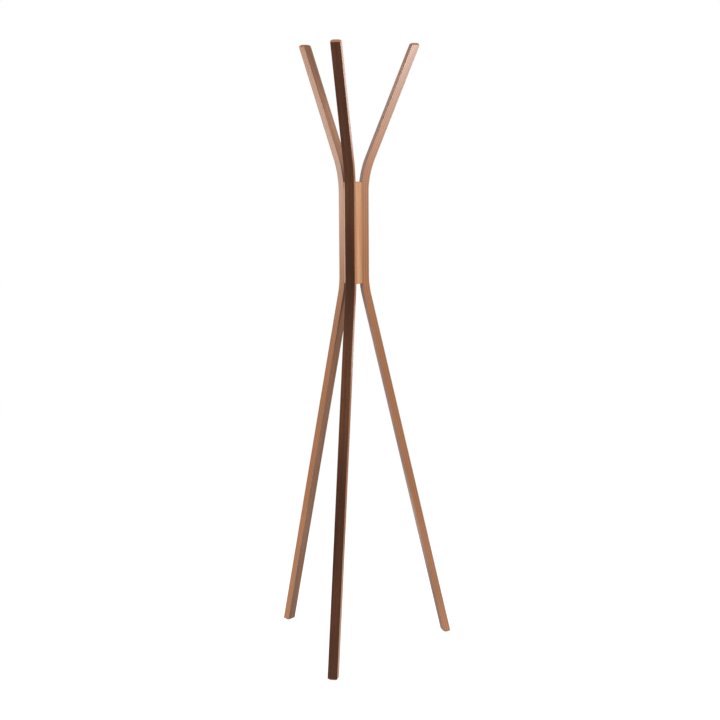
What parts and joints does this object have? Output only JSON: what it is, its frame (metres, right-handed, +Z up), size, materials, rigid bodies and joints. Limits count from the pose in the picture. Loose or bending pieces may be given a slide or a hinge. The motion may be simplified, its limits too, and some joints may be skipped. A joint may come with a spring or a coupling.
{
  "type": "standing coat rack",
  "caption": "Free-standing wooden coat rack: bent staves, splayed as legs below and as arms above, joined round a slim core block.",
  "frame": {"origin": "on the floor, on the axis that the three staves stand round", "axes": "+Z up along the stand's axis; the front stave lies towards -Y, the right one towards +X and +Y"},
  "size_m": [0.5258, 0.4557, 1.75],
  "materials": {
    "stave_ply": "satin oiled bent plywood, whose edges are paler than its faces",
    "face_veneer": "satin oiled walnut veneer, grain along the stave",
    "core_wood": "satin oiled solid wood, straight grain",
    "dowel_beech": "raw fluted beech",
    "pad_felt": "pressed brown felt"
  },
  "bodies": {
    "root": {"front_stave": "stave_ply", "front_outer_veneer": "face_veneer", "front_inner_veneer": "face_veneer", "right_stave": "stave_ply", "right_outer_veneer": "face_veneer", "right_inner_veneer": "face_veneer", "left_stave": "stave_ply", "left_outer_veneer": "face_veneer", "left_inner_veneer": "face_veneer", "core_block": "core_wood", "front_lower_dowel": "dowel_beech", "front_middle_dowel": "dowel_beech", "front_upper_dowel": "dowel_beech", "right_lower_dowel": "dowel_beech", "right_middle_dowel": "dowel_beech", "right_upper_dowel": "dowel_beech", "left_lower_dowel": "dowel_beech", "left_middle_dowel": "dowel_beech", "left_upper_dowel": "dowel_beech", "front_foot_pad": "pad_felt", "right_foot_pad": "pad_felt", "left_foot_pad": "pad_felt"}
  },
  "joints": []
}
